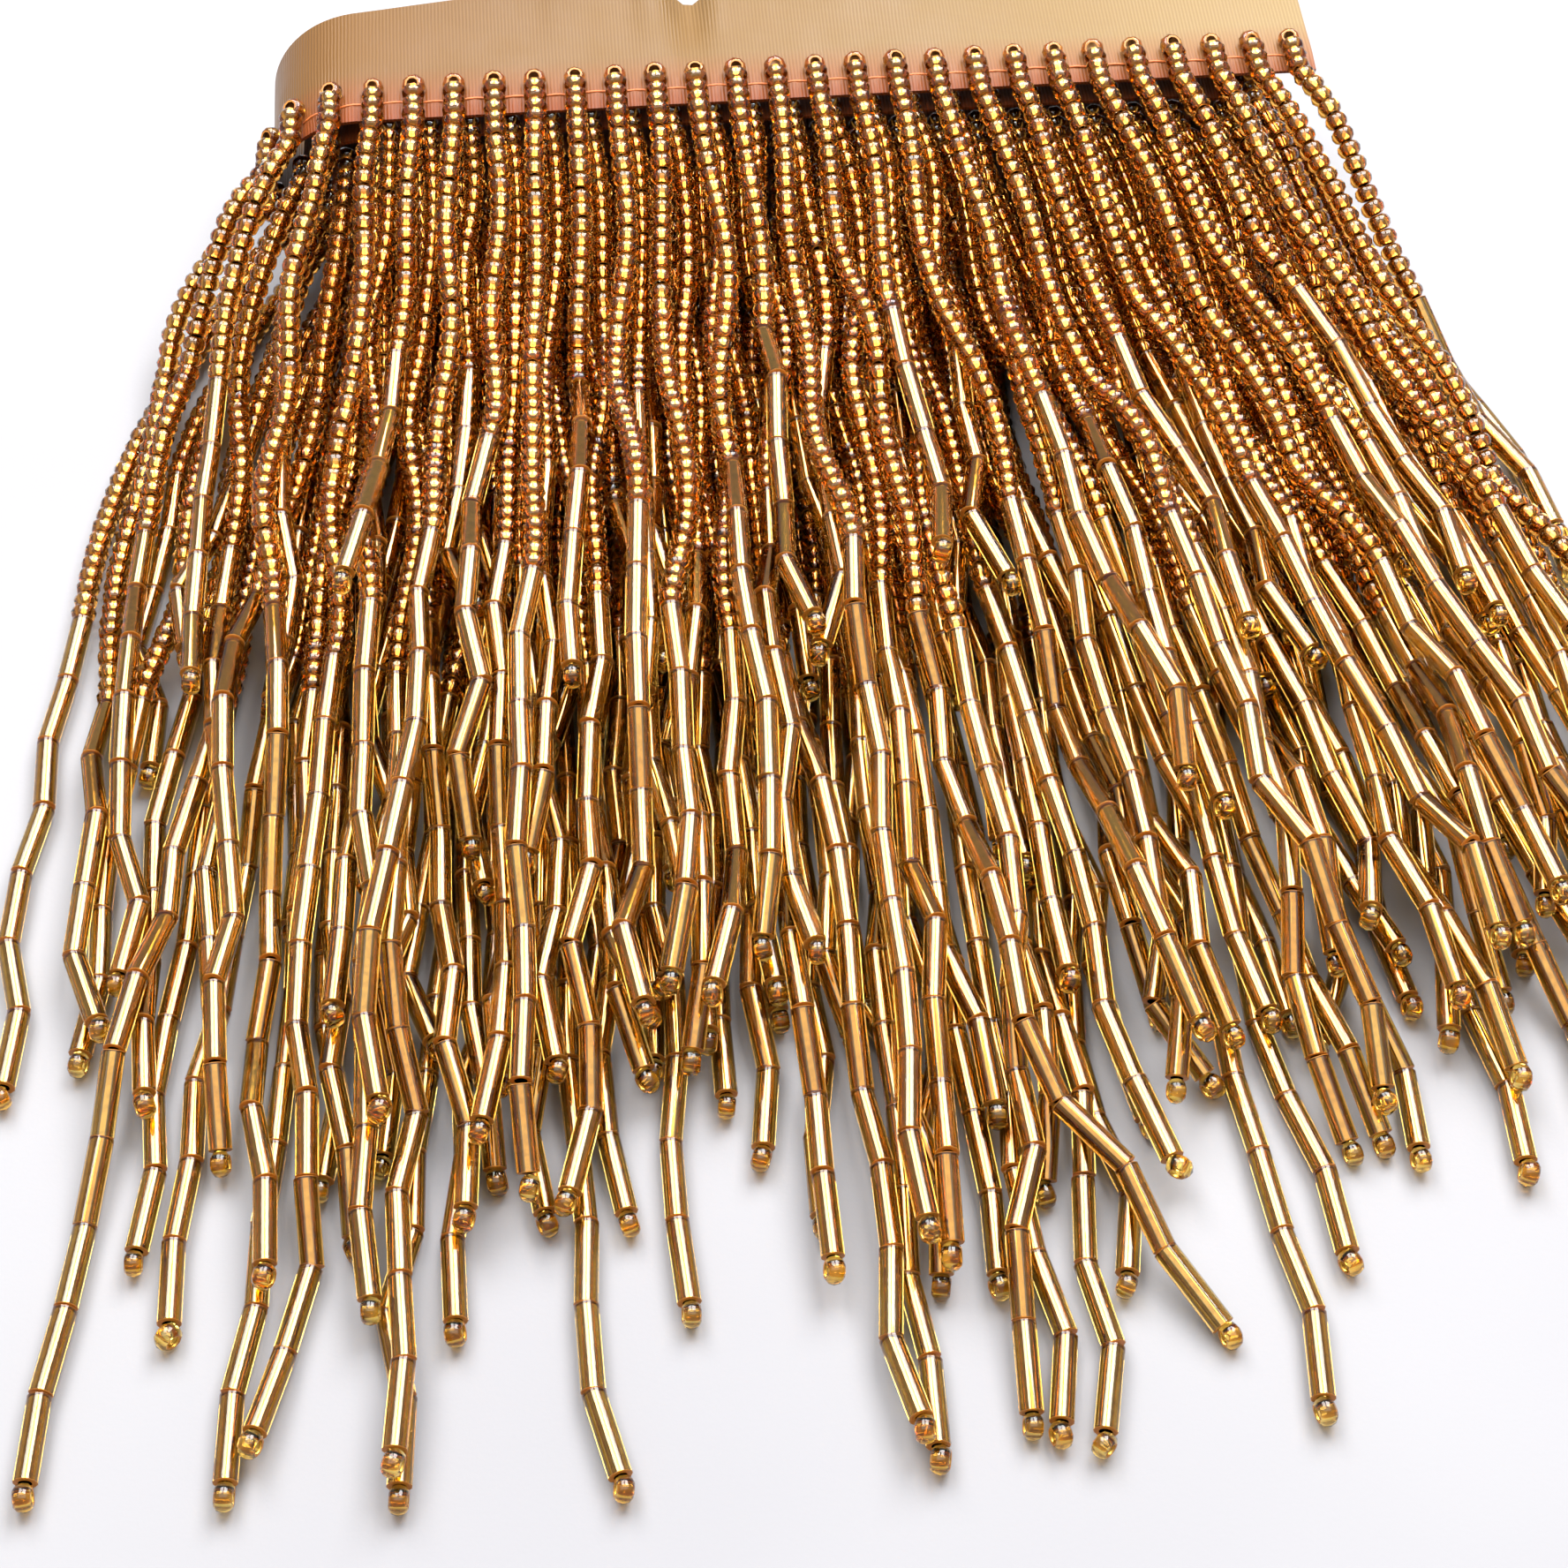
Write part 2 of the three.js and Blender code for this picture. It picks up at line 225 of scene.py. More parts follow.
# %% One strand's plan
def plan_strand(index):
    """Where a strand is sewn on, which way it lies and what is strung on it."""
    kind = STRAND_REPEAT[index % len(STRAND_REPEAT)]
    run, point, out = ribbon_at(STRAND_PITCH * (index + 0.5))
    on_face = run["outside"] and out[1] > FACE_ROOT_RISE
    lift = SATIN_THICKNESS / 2 + SEED_DIAMETER / 2 if on_face else INNER_LIFT * max(0, out[1])
    root_y = EDGE_Y + (FACE_ROOT_INSET if on_face else EDGE_ROOT_INSET)
    root_z = point[1] + out[1] * lift - (edge_droop(run, out, root_y) if on_face else 0)
    swing = 1 + math.tanh((point[0] - FRONT_LEAN["middle_x"]) / FRONT_LEAN["spread"])
    front = FRONT_LEAN["left"] + (FRONT_LEAN["right"] - FRONT_LEAN["left"]) / 2 * swing
    back = point[0] / HALF_RUN * (BACK_LEAN["left"] if point[0] < 0 else BACK_LEAN["right"])
    past_run = max(0, abs(point[0]) - HALF_RUN) / (FRONT_LAYERS * LAYER_PITCH)
    if on_face and point[0] > 0:
        past_run *= LAST_FLARE
    root_x = point[0] + out[0] * lift
    if out[1] == 1:
        root_x += LAYER_SHIFT.get(run["turn"], 0)
    drift_phase = 2 * math.pi * point[0] / LAYER_DRIFT["wave"]
    drift_phase += LAYER_DRIFT["turn_phase"] * run["turn"]
    can_stray = on_face and abs(point[0]) < STRAY["reach"]
    flare = SIDE_FLARE["left" if point[0] < 0 else "right"]
    bends = [either_way() * KINK_MOST for _ in range(kind["bugles"] + 1)]
    sway = either_way() * SWAY["most"]
    phase = chance() * 2 * math.pi
    strays = chance() < STRAY["share"] and can_stray
    return {
        "turn": run["turn"],
        "on_face": on_face,
        "out": out,
        "root": (root_x, root_y, max(root_z, SEED_DIAMETER / 2)),
        "lean": front if out[1] > 0 else back,
        "flare": past_run * flare,
        "drift": LAYER_DRIFT["most"] * math.sin(drift_phase),
        "sway": sway,
        "phase": phase,
        "stray": either_way() * STRAY["most"] if strays else 0,
        "kinks": [after - before for before, after in zip(bends, bends[1:])],
        "slip_at": [0],
        "slip": [0],
        "curl": 0,
        "seeds": kind["seeds"],
        "bugles": kind["bugles"],
        "length": (
            kind["seeds"] * SEED_LENGTH + kind["bugles"] * BUGLE_LENGTH + STOPPER_LENGTH
        ),
    }


def direction_at(strand, along, bugle):
    """The strand's direction, in degrees from straight down the fringe."""
    wave = math.sin(2 * math.pi * along / SWAY["wave"] + strand["phase"])
    loose = strand["drift"] + strand["sway"] * wave
    degrees = strand["lean"] * (1 - LEAN_FADE * along / strand["length"])
    degrees += strand["flare"] * math.exp(-max(0, along) / SIDE_FLARE["reach"])
    degrees += loose * min(1, max(0, along) / LOOSE_AFTER)
    if strand["length"] - along < STRAY["length"]:
        degrees += strand["stray"]
    if bugle is None:
        turns = along / strand["curl_wave"] + strand["curl_phase"]
        grown = min(1, max(0, along) / CURL["starts_over"])
        degrees += strand["curl"] * math.sin(2 * math.pi * turns) * grown
    else:
        end_share = (bugle + 1) / strand["bugles"]
        degrees += strand["kinks"][bugle] * (STRAIGHT_KINK + END_KINK * end_share**2)
    return degrees + float(np.interp(along, strand["slip_at"], strand["slip"]))


strands = [plan_strand(index) for index in range(int(RIBBON_LENGTH / STRAND_PITCH))]
print(len(strands), "strands planned")

# %% [markdown]
# ## Small curls
# Thread keeps the curl of its spool, and the short, light seed beads let it show, while the
# stiff bugle beads pull it straight. So each strand's seed bead part gets a slow wave of its
# own, which starts a little below the stitch that holds it.

# %% Small curls of the seed bead part
CURL = {"least": 2, "most": 8, "shortest": 22, "longest": 40, "starts_over": 9}
CURL_SEED = 5

curl_rng = np.random.default_rng(CURL_SEED)
for strand in strands:
    strand["curl"] = curl_rng.uniform(CURL["least"], CURL["most"])
    strand["curl_wave"] = curl_rng.uniform(CURL["shortest"], CURL["longest"])
    strand["curl_phase"] = curl_rng.uniform(0, 1)
print(f"curls of {CURL['least']} to {CURL['most']} degrees")

# %% [markdown]
# ## Slipping into the gaps
# Round glass beads don't stay stacked on one another: a strand slides off sideways until it
# lies in a gap. So strands that run too close side by side push each other apart a little at
# every level below the ribbon, and each keeps a smooth line because the pushes are averaged
# along it.

# %% Strands push each other apart
# Strands on the ribbon's face are free only well below it, and the inner ones at once.
SLIP_STARTS = {True: 8, False: 0}
SLIP_GROWS = {True: 35, False: 9}
CROWDED = 2.4
MOST_SLIP = 3.2
PUSH_SHARE = 0.25
SLIP_PASSES = 90
SMOOTHINGS = 3
LEVEL_STEP = 2.5
DEEPEST_LEVEL = 145
LONGEST_WALK = 150
FAR_OFF = 1e6

levels = np.arange(0, DEEPEST_LEVEL, LEVEL_STEP)
walk = np.arange(0, LONGEST_WALK, 1.0)


def level_line(strand):
    """The strand's x and its own distance at every level below the ribbon, and where it ends."""
    steps = walk[walk < strand["length"]]
    headings = np.radians([direction_at(strand, step, None) for step in steps])
    x = strand["root"][0] + np.concatenate([[0], np.cumsum(np.sin(headings))])
    depth = np.concatenate([[0], np.cumsum(np.cos(headings))])
    own = np.arange(len(depth))
    return np.interp(levels, depth, x), np.interp(levels, depth, own), levels <= depth[-1]


lines = [level_line(strand) for strand in strands]
level_x, level_own, reached = [np.array(each) for each in zip(*lines)]
starts = np.array([SLIP_STARTS[strand["on_face"]] for strand in strands])[:, None]
grows = np.array([SLIP_GROWS[strand["on_face"]] for strand in strands])[:, None]
freedom = np.clip((levels - starts) / grows, 0, 1)
ended = FAR_OFF * (1 + np.arange(len(strands)))[:, None]
slips = np.zeros_like(level_x)
for _ in range(SLIP_PASSES):
    now = np.where(reached, level_x + slips, ended)
    apart = now[:, None, :] - now[None, :, :]
    push = (np.sign(apart) * np.maximum(0, 1 - np.abs(apart) / CROWDED)).sum(axis=1)
    slips = np.clip(slips + PUSH_SHARE * push * freedom, -MOST_SLIP, MOST_SLIP)
    for _ in range(SMOOTHINGS):
        before = np.pad(slips, ((0, 0), (1, 1)), mode="edge")
        slips = 0.25 * before[:, :-2] + 0.5 * before[:, 1:-1] + 0.25 * before[:, 2:]
    slips[:, 0] = 0
for strand, own, slip in zip(strands, level_own, slips):
    strand["slip_at"] = own
    strand["slip"] = np.degrees(np.arctan(np.gradient(slip, LEVEL_STEP)))
print(f"strands slip by up to {np.abs(slips).max():.1f} mm")

# %% [markdown]
# ## Laying the strands down
# Strings that are dropped in a heap rest on each other. A cloth or rigid body simulation of
# several thousand beads would be slow, so the heap is built as a picker would pile it: each
# strand is laid over a height map of what already lies there, sags between its supports, and
# is then stamped into the map itself.

# %% The height map
# TOUCH is how far apart the middle lines of two strands are where they touch, a little less
# than a seed bead's width because beads nest. FLOOR_REST is a middle line's height on the floor.
CELL = 0.3
MAP_LOW = (-85, -165)
MAP_SIZE = (210, 175)
TOUCH = 2.08
FLOOR_REST = 1.3

height_map = np.full((int(MAP_SIZE[0] / CELL), int(MAP_SIZE[1] / CELL)), FLOOR_REST)
reach_cells = int(TOUCH / CELL) + 1
offsets = np.arange(-reach_cells, reach_cells + 1)
STAMP_X, STAMP_Y = [grid.ravel() for grid in np.meshgrid(offsets, offsets, indexing="ij")]


def cells_of(places):
    """The map's column and row under each place."""
    columns = ((places[:, 0] - MAP_LOW[0]) / CELL).astype(int)
    rows = ((places[:, 1] - MAP_LOW[1]) / CELL).astype(int)
    return np.clip(columns, 0, height_map.shape[0] - 1), np.clip(rows, 0, height_map.shape[1] - 1)


def stamp(points):
    """Raises the map to what a strand's middle line would need to pass over these points."""
    columns, rows = cells_of(points)
    all_columns = np.clip(columns[:, None] + STAMP_X, 0, height_map.shape[0] - 1)
    all_rows = np.clip(rows[:, None] + STAMP_Y, 0, height_map.shape[1] - 1)
    away_x = MAP_LOW[0] + (all_columns + 0.5) * CELL - points[:, :1]
    away_y = MAP_LOW[1] + (all_rows + 0.5) * CELL - points[:, 1:2]
    room = TOUCH * TOUCH - away_x**2 - away_y**2
    near = room > 0
    heights = points[:, 2:] + np.sqrt(np.maximum(room, 0))
    np.maximum.at(height_map, (all_columns[near], all_rows[near]), heights[near])


# %% One strand's joints, seen from above and then lifted
# A string of beads can't bend tighter than BEND_RADIUS, and off a support it falls no steeper
# than the slopes below. One that starts on top of the ribbon has further to fall.
BEND_RADIUS = 14
FALL_OF_FACE = math.tan(math.radians(32))
FALL_OF_INNER = math.tan(math.radians(20))
SAMPLE = 0.5
LAYING_PASSES = 3
HOLD_MARGIN = 0.1
STEEPEST_RISE = 0.25
LEAST_SHARE = 0.4


def sag(distance, fall):
    """How far a limp strand may drop at a distance from a support."""
    turn = BEND_RADIUS * fall
    return np.where(distance < turn, distance**2 / (2 * BEND_RADIUS), fall * (distance - turn / 2))


def links_of(strand):
    """The lengths of the strand's links from its root to its end, and the bugle number of each."""
    return [(SEED_LENGTH, None)] * strand["seeds"] + [
        (BUGLE_LENGTH, bugle) for bugle in range(strand["bugles"])
    ]


def flat_route(strand, links, shares):
    """Joints seen from above, where each link shows only a share of its length."""
    x, y, _ = strand["root"]
    exit_y = EDGE_Y - EXIT_STUB
    joints = [(x, y)]
    along = exit_y - y
    for (length, bugle), share in zip(links, shares):
        inside = y > exit_y
        heading = 0 if inside else math.radians(direction_at(strand, along + length / 2, bugle))
        x += math.sin(heading) * length * share
        y -= math.cos(heading) * length * share
        along += length
        joints.append((x, y))
    return np.array(joints)


def lay(strand):
    """The strand's joints in space: over the ribbon's edge, then down on the heap."""
    links = links_of(strand)
    lengths = np.array([length for length, _ in links])
    shares = np.ones(len(links))
    root_z = strand["root"][2]
    fall = FALL_OF_FACE if strand["on_face"] else FALL_OF_INNER
    for _ in range(LAYING_PASSES):
        flat = flat_route(strand, links, shares)
        steps = np.hypot(*np.diff(flat, axis=0).T)
        stations = np.concatenate([[0], np.cumsum(steps)])
        samples = np.arange(0, stations[-1] + SAMPLE, SAMPLE).clip(0, stations[-1])
        seen = [np.interp(samples, stations, flat[:, axis]) for axis in (0, 1)]
        needs = height_map[cells_of(np.stack(seen, axis=1))]
        exit_station = stations[np.argmax(flat[:, 1] <= EDGE_Y - EXIT_STUB)]
        past_exit = np.maximum(0, samples - exit_station)
        needs = np.where(samples <= exit_station + HOLD_MARGIN, root_z, needs)
        needs = np.minimum(needs, root_z + HOLD_MARGIN + STEEPEST_RISE * past_exit)
        away = np.abs(samples[:, None] - samples[None, :])
        lifted = (needs[None, :] - sag(away, fall)).max(axis=1)
        heights = np.interp(stations, samples, lifted)
        for index in range(strand["seeds"], len(links)):
            inside = (samples > stations[index]) & (samples < stations[index + 1])
            both_ends = slice(index, index + 2)
            chord = np.interp(samples[inside], stations[both_ends], heights[both_ends])
            short = (needs[inside] - chord).max(initial=0)
            heights[index] += short / 2
            heights[index + 1] += short
        rises = np.diff(heights)
        seen_squared = np.maximum(lengths**2 - rises**2, (LEAST_SHARE * lengths) ** 2)
        shares = np.sqrt(seen_squared) / lengths
    joints = np.column_stack([flat, heights])
    fine = np.arange(0, stations[-1], SAMPLE)
    stamp(np.stack([np.interp(fine, stations, joints[:, axis]) for axis in range(3)], axis=1))
    return joints


for strand in sorted(strands, key=lambda each: each["root"][2]):
    strand["joints"] = lay(strand)
heap_top = max(strand["joints"][:, 2].max() for strand in strands)
print(f"heap laid, {heap_top:.1f} mm high")

# %% [markdown]
# ## Bead shapes
# A glass bead is a short piece of drawn tube. A seed bead is tumbled hot until its ends are
# round, and a bugle bead is only cut. Both are closed rings of a few quads here, because there
# are thousands of them: each is an outline, given as distance along the hole and radius,
# turned about the hole. The last rows of an outline are the wall of the hole, which carries
# the bright metal lining.

# %% Outlines of the beads, in millimetres
SEED_OUTLINE = [
    {"along": -0.70, "radius": 0.70},
    {"along": -0.45, "radius": 1.00},
    {"along": 0.00, "radius": 1.13},
    {"along": 0.45, "radius": 1.00},
    {"along": 0.70, "radius": 0.70, "cut": True},
    {"along": 0.66, "radius": 0.54},
    {"along": -0.66, "radius": 0.54, "cut": True},
]
BUGLE_OUTLINE = [
    {"along": -3.47, "radius": 0.88, "cut": True},
    {"along": -3.42, "radius": BUGLE_DIAMETER / 2},
    {"along": 3.42, "radius": BUGLE_DIAMETER / 2, "cut": True},
    {"along": 3.47, "radius": 0.88, "cut": True},
    {"along": 3.46, "radius": 0.53},
    {"along": -3.46, "radius": 0.53, "cut": True},
]
HOLE_ROWS = 2
GLASS, CUT_END, LINING = 0, 1, 2


def turned(outline, sides):
    """Vertices, quads and the finish of each quad, of a ring turned about Z."""
    rows = len(outline)
    angles = np.arange(sides) * 2 * math.pi / sides
    points = [
        (row["radius"] * math.cos(angle), row["radius"] * math.sin(angle), row["along"])
        for row in outline
        for angle in angles
    ]
    quads = []
    finishes = []
    for row in range(rows):
        below = (row + 1) % rows
        finish = CUT_END if outline[row].get("cut") else GLASS
        if row == rows - HOLE_ROWS:
            finish = LINING
        for side in range(sides):
            beside = (side + 1) % sides
            upper, lower = row * sides, below * sides
            quads.append((upper + side, upper + beside, lower + beside, lower + side))
            finishes.append(finish)
    return np.array(points), np.array(quads), np.array(finishes)


SEED_SHAPE = {"shape": turned(SEED_OUTLINE, sides=9), "crease": math.radians(60)}
BUGLE_SHAPE = {"shape": turned(BUGLE_OUTLINE, sides=12), "crease": math.radians(33)}
print("quads in a seed bead:", len(SEED_SHAPE["shape"][1]))
print("quads in a bugle bead:", len(BUGLE_SHAPE["shape"][1]))


# %% Many beads as one mesh
def joined(name, shape, places, turns, materials, tints):
    """One mesh of copies of a shape. turns holds a 3 by 3 matrix for each copy, tints the
    number of its glass among the materials, whose last two are the cut ends and the lining."""
    points, quads, finishes = shape["shape"]
    copies = len(places)
    all_points = np.einsum("nij,pj->npi", turns, points) + places[:, None, :]
    all_quads = quads[None] + (np.arange(copies) * len(points))[:, None, None]
    past_glass = len(materials) - 1 - LINING
    slots = np.where(finishes == GLASS, tints[:, None], past_glass + finishes)
    mesh = bpy.data.meshes.new(name)
    mesh.vertices.add(copies * len(points))
    mesh.vertices.foreach_set("co", (all_points * MM).astype(np.float32).ravel())
    mesh.loops.add(all_quads.size)
    mesh.loops.foreach_set("vertex_index", all_quads.astype(np.int32).ravel())
    mesh.polygons.add(copies * len(quads))
    mesh.polygons.foreach_set("loop_start", np.arange(0, all_quads.size, 4, dtype=np.int32))
    for material in materials:
        mesh.materials.append(material)
    mesh.polygons.foreach_set("material_index", slots.astype(np.int32).ravel())
    mesh.update(calc_edges=True)
    mesh.shade_smooth()
    mesh.set_sharp_from_angle(angle=shape["crease"])
    piece = bpy.data.objects.new(name, mesh)
    bpy.context.scene.collection.objects.link(piece)
    return piece


# %% [markdown]
# ## Glass and metal
# A silver-lined bead is clear amber glass with a mirror bright wall in its hole. Light goes in
# through the glass, bounces off the lining and comes out again, gold and bright in the middle
# of the bead and deep amber at its sides. The honest way to draw that is the real one:
# refracting glass around a metal wall.


# %% Colours and nodes
def colour(hex_code):
    """An sRGB hex colour as linear RGBA."""
    channels = [int(hex_code[place : place + 2], 16) / 255 for place in (1, 3, 5)]
    linear = [
        each / 12.92 if each <= 0.04045 else ((each + 0.055) / 1.055) ** 2.4 for each in channels
    ]
    return (*linear, 1)


def add_node(material, kind, settings=None, links=None):
    """Adds a node with its settings and inputs. A link is (input, other node, its output), and
    the stops of a colour ramp are (place, colour)."""
    tree = material.node_tree
    node = tree.nodes.new(kind)
    for key, value in (settings or {}).items():
        if key == "stops":
            elements = node.color_ramp.elements
            for _ in value[len(elements) :]:
                elements.new(0.5)
            for element, (place, tint) in zip(elements, value):
                element.position = place
                element.color = tint
        elif isinstance(key, int) or key in node.inputs:
            node.inputs[key].default_value = value
        else:
            setattr(node, key, value)
    for socket, other, output in links or []:
        tree.links.new(other.outputs[output], node.inputs[socket])
    return node


def noise_scale(patch_mm):
    """The scale of a noise whose light and dark patches are about this wide."""
    return 1 / (patch_mm * MM)


def new_material(name):
    """A material with an empty node tree."""
    material = bpy.data.materials.new(name)
    material.use_nodes = True
    material.node_tree.nodes.clear()
    return material


# %% Drawn soda glass, in the tints that one batch holds
# The colour drifts along a drawn tube, so one bead differs a little from the next: patches of
# about a bead's width. The tube's skin is fire polished as it is drawn, so it has no grain and
# the eye gets hard bright lines from it.
STREAK_MM = 2.4
SODA_GLASS_IOR = 1.52


def drawn_glass(name, tint, deep):
    """Clear coloured glass whose tint drifts from bead to bead, as it does in a drawn tube."""
    material = new_material(name)
    place = add_node(material, "ShaderNodeTexCoord")
    streaks = add_node(
        material,
        "ShaderNodeTexNoise",
        {"Scale": noise_scale(STREAK_MM), "Detail": 1.0},
        [("Vector", place, "Object")],
    )
    tone = add_node(
        material,
        "ShaderNodeValToRGB",
        {"stops": [(0.38, colour(deep)), (0.62, colour(tint))]},
        [("Fac", streaks, "Fac")],
    )
    shader = add_node(
        material,
        "ShaderNodeBsdfPrincipled",
        {"Roughness": 0.0, "IOR": SODA_GLASS_IOR, "Transmission Weight": 1.0},
        [("Base Color", tone, "Color")],
    )
    add_node(material, "ShaderNodeOutputMaterial", links=[("Surface", shader, "BSDF")])
    return material


seed_glass = [
    drawn_glass("seed_glass_amber", "#f7b051", "#f3a748"),
    drawn_glass("seed_glass_honey", "#fabf62", "#f7b757"),
]
bugle_glass = [
    drawn_glass("bugle_glass_gold", "#fbd371", "#f9ca66"),
    drawn_glass("bugle_glass_amber", "#f8c55f", "#f4bb52"),
]
stopper_glass = [
    drawn_glass("stopper_glass_yellow", "#fdd870", "#f9cd60"),
    drawn_glass("stopper_glass_amber", "#f9c654", "#f3ba46"),
]
print("glasses:", [each.name for each in seed_glass + bugle_glass + stopper_glass])


# %% [markdown]
# ## Ground ends and silver lining
# Where a tube is cut into beads its ends stay matt. They scatter the light instead of letting
# it through, so every bead shows a small amber ring against its neighbour. The hole is coated
# with silver before the beads are strung, and that coat is the mirror behind the glass.

# %% Ground ends, where a bead was cut
# The grit of the cut is drawn a few times coarser than it is, so that it shows at all.
GRIT_MM = 0.11
GRIT_DEPTH_MM = 0.02


def ground_end():
    """Finely ground glass: rough, half clear and a little darker in its scratches."""
    material = new_material("ground_glass_end")
    place = add_node(material, "ShaderNodeTexCoord")
    grit = add_node(
        material,
        "ShaderNodeTexNoise",
        {"Scale": noise_scale(GRIT_MM), "Detail": 2.0},
        [("Vector", place, "Object")],
    )
    tone = add_node(
        material,
        "ShaderNodeValToRGB",
        {"stops": [(0.3, colour("#b66c1a")), (0.7, colour("#d98c2c"))]},
        [("Fac", grit, "Fac")],
    )
    bump = add_node(
        material,
        "ShaderNodeBump",
        {"Strength": 0.4, "Distance": GRIT_DEPTH_MM * MM},
        [("Height", grit, "Fac")],
    )
    shader = add_node(
        material,
        "ShaderNodeBsdfPrincipled",
        {"Roughness": 0.45, "IOR": SODA_GLASS_IOR, "Transmission Weight": 0.3},
        [("Base Color", tone, "Color"), ("Normal", bump, "Normal")],
    )
    add_node(material, "ShaderNodeOutputMaterial", links=[("Surface", shader, "BSDF")])
    return material


cut_end = ground_end()
print("cut ends:", cut_end.name)

# %% The mirror bright lining
# A wet silver coat dries thinner in places. A thin place is duller and a little browner, and
# that breaks up the bright line down each bead.
THIN_PATCH_MM = 0.625


def silver_lining(name, bright, dull):
    """Chemically silvered wall of the hole: bright, with duller patches where it is thin."""
    material = new_material(name)
    place = add_node(material, "ShaderNodeTexCoord")
    patches = add_node(
        material,
        "ShaderNodeTexNoise",
        {"Scale": noise_scale(THIN_PATCH_MM), "Detail": 2.0},
        [("Vector", place, "Object")],
    )
    tone = add_node(
        material,
        "ShaderNodeValToRGB",
        {"stops": [(0.35, colour(dull)), (0.6, colour(bright))]},
        [("Fac", patches, "Fac")],
    )
    gloss = add_node(
        material,
        "ShaderNodeMapRange",
        {"From Min": 0.35, "From Max": 0.65, "To Min": 0.1, "To Max": 0.04},
        [("Value", patches, "Fac")],
    )
    shader = add_node(
        material,
        "ShaderNodeBsdfPrincipled",
        {"Metallic": 1.0},
        [("Base Color", tone, "Color"), ("Roughness", gloss, "Result")],
    )
    add_node(material, "ShaderNodeOutputMaterial", links=[("Surface", shader, "BSDF")])
    return material


seed_lining = silver_lining("seed_silver_lining", "#bfb395", "#afa07f")
bugle_lining = silver_lining("bugle_silver_lining", "#b1a27e", "#a1906e")
print("linings:", seed_lining.name, bugle_lining.name)

# %% [markdown]
# ## Threading the beads
# Every link of a laid strand gets its bead, turned so that its hole follows the thread, with
# the small differences in size and seating that strung beads have. At the root a bead stands
# on the ribbon, and at the end a stopper bead is turned across the thread, which loops
# around it.

# %% Turning a bead to its link
BEAD_SEED = 11

rng = np.random.default_rng(BEAD_SEED)


def turns_along(directions, wobble_degrees, size_spread):
    """Matrices whose third axis follows each direction, with some wobble, roll and size."""
    count = len(directions)
    wobble = rng.normal(0, math.radians(wobble_degrees), (count, 3))
    ahead = directions + wobble
    ahead /= np.linalg.norm(ahead, axis=1, keepdims=True)
    helper = np.where(np.abs(ahead[:, 2:]) < 0.9, [[0.0, 0.0, 1.0]], [[1.0, 0.0, 0.0]])
    side = np.cross(helper, ahead)
    side /= np.linalg.norm(side, axis=1, keepdims=True)
    rise = np.cross(ahead, side)
    roll = rng.uniform(0, 2 * math.pi, (count, 1))
    across = side * np.cos(roll) + rise * np.sin(roll)
    other = np.cross(ahead, across)
    size = rng.normal(1, size_spread, (count, 1, 1)).clip(1 - 2 * size_spread, 1 + 2 * size_spread)
    return np.stack([across, other, ahead], axis=2) * size


def links_between(joints):
    """The middle of each link, and the way from its start to its end."""
    return (joints[1:] + joints[:-1]) / 2, joints[1:] - joints[:-1]


# %% Beads of each turn of the ribbon
# Seed beads sit loosely and differ more in size than bugle beads, which a tube holds straight.
BEAD_KINDS = {
    "seeds": {"shape": SEED_SHAPE, "wobble_degrees": 4, "size_spread": 0.03},
    "bugles": {"shape": BUGLE_SHAPE, "wobble_degrees": 0.6, "size_spread": 0.015},
}
BEAD_GLASS = {"seeds": seed_glass, "bugles": bugle_glass}
BEAD_LINING = {"seeds": seed_lining, "bugles": bugle_lining}

bead_pieces = []
for turn, side in [(turn, side) for turn in range(FRONT_LAYERS) for side in ("back", "front")]:
    members = [
        strand
        for strand in strands
        if strand["turn"] == turn and (strand["out"][1] > 0) == (side == "front")
    ]
    if not members:
        continue
    strung = {"seeds": ([], []), "bugles": ([], [])}
    for strand in members:
        middles, ways = links_between(strand["joints"])
        seeds = strand["seeds"]
        for kind, part in (("seeds", slice(seeds)), ("bugles", slice(seeds, None))):
            strung[kind][0].append(middles[part])
            strung[kind][1].append(ways[part])
    for kind, bead in BEAD_KINDS.items():
        places, ways = [np.concatenate(each) for each in strung[kind]]
        ways = ways / np.linalg.norm(ways, axis=1, keepdims=True)
        turns = turns_along(ways, bead["wobble_degrees"], bead["size_spread"])
        tints = rng.integers(0, len(BEAD_GLASS[kind]), len(places))
        name = f"{kind}_turn_{turn + 1}_{side}"
        materials = [*BEAD_GLASS[kind], cut_end, BEAD_LINING[kind]]
        piece = joined(name, bead["shape"], places, turns, materials, tints)
        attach(piece, "root")
        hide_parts(f"fringe_turn_{turn + 1}")
        bead_pieces.append(piece)
        print(piece.name, len(places), "beads")

# %% [markdown]
# ## Root beads and stopper beads
# The thread comes up through the ribbon and into the first bead from below, so that bead
# stands on the satin with its hole up. At the far end the thread goes round one more bead and
# back up the strand, which turns that bead across it. A stopper bead has no silver in it.

# %% Root beads stand on the ribbon
STANDING_BACK = 0.85
STANDING_LOW = 0.35
STANDING_TILT = np.array((0, -0.45, 0))

faced = [strand for strand in strands if strand["on_face"]]
outward = np.array([(strand["out"][0], 0, strand["out"][1]) for strand in faced])
places = np.array([strand["joints"][0] for strand in faced])
places += (0, STANDING_BACK, 0) - outward * STANDING_LOW
ways = outward + STANDING_TILT
ways /= np.linalg.norm(ways, axis=1, keepdims=True)
root_turns = turns_along(ways, wobble_degrees=7, size_spread=0.04)
root_tints = rng.integers(0, len(seed_glass), len(faced))
lined = [*seed_glass, cut_end, seed_lining]
root_beads = joined("root_beads", SEED_SHAPE, places, root_turns, lined, root_tints)
print(len(faced), "root beads")

